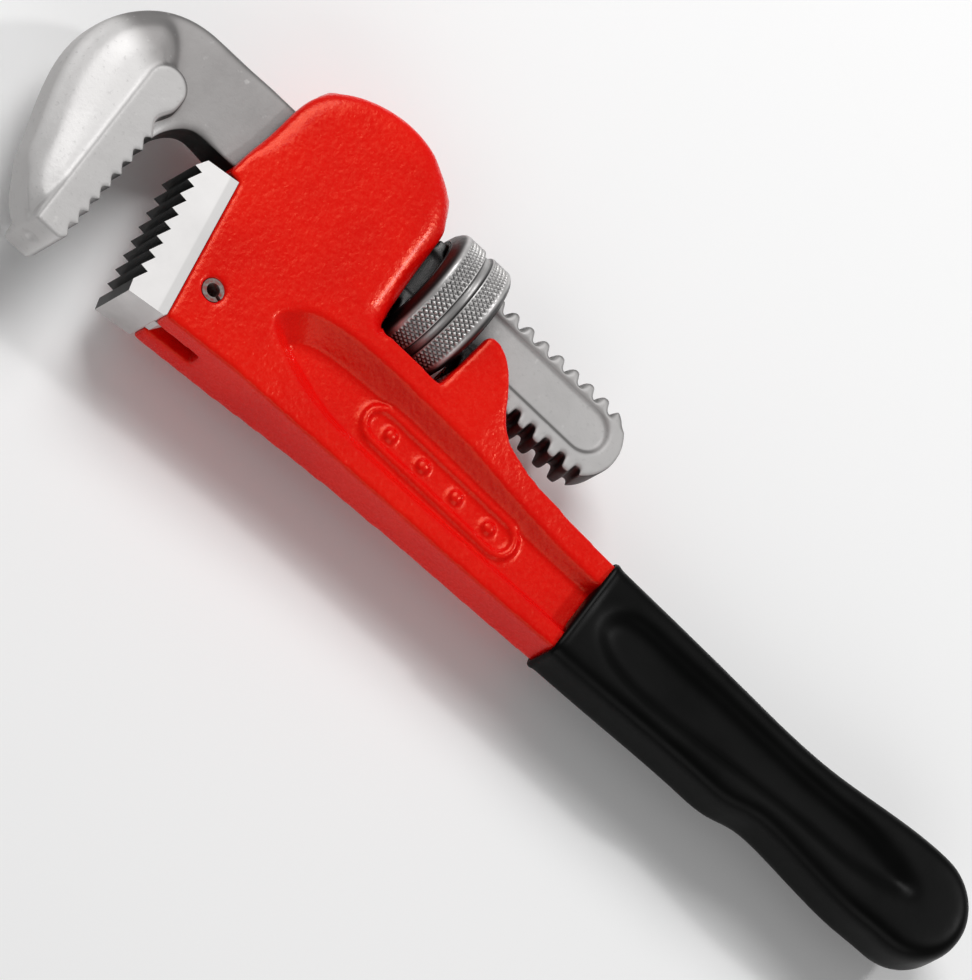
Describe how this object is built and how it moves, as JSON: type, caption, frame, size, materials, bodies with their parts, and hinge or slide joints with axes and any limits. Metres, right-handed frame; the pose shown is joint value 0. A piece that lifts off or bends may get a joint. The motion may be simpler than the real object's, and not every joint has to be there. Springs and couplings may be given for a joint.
{
  "type": "adjustable pipe wrench",
  "caption": "Red adjustable pipe wrench with a hooked upper jaw, knurled adjusting nut, replaceable heel jaw and black dipped grip.",
  "frame": {"origin": "middle of the heel jaw's toothed face, at mid-thickness", "axes": "+X from the jaws to the end of the handle, along the threaded shank; +Y from the mouth towards the wrench's back; +Z square to the wrench's flat sides, with the wrench lying flat"},
  "size_m": [0.2519, 0.0743, 0.0286],
  "materials": {
    "body_paint": "glossy red enamel over a cast surface",
    "jaw_steel": "satin forged steel, pale on the side faces and darker on the neck",
    "heel_steel": "pale ground steel with blackened teeth",
    "nut_steel": "plated knurled steel, darker in the knurl",
    "pin_steel": "spring pin, some paint at its rim",
    "spring_steel": "blued spring steel",
    "grip_vinyl": "soft satin black dipped vinyl"
  },
  "bodies": {
    "handle": {"handle_body": "body_paint", "heel_jaw": "heel_steel", "heel_jaw_pin": "pin_steel", "coil_spring": "spring_steel", "grip_sleeve": "grip_vinyl"},
    "leaf": {"leaf_spring": "spring_steel", "spring_rivet": "pin_steel"},
    "nut": {"adjusting_nut": "nut_steel"},
    "hook": {"hook_jaw": "jaw_steel"}
  },
  "joints": [
    {"name": "jaw_rock", "type": "hinge", "parent": "handle", "child": "leaf", "pos_m": [0.05565, 0.0338, 0], "axis": [0, 0, -1], "range_deg": [0, 2.5], "stiffness_Nm_per_rad": 2, "deforming": ["coil_spring"]},
    {"name": "nut_spin", "type": "hinge", "parent": "leaf", "child": "nut", "pos_m": [0.05565, 0.0338, 0], "axis": [1, 0, 0], "range_deg": [-800, 2460]},
    {"name": "hook_jaw_slide", "type": "slide", "parent": "leaf", "child": "hook", "axis": [1, 0, 0], "range_m": [-0.028, 0.009]}
  ],
  "couplings": [
    {"joint": "nut_spin", "follows": "hook_jaw_slide", "rad_per_m": -1521.4}
  ]
}
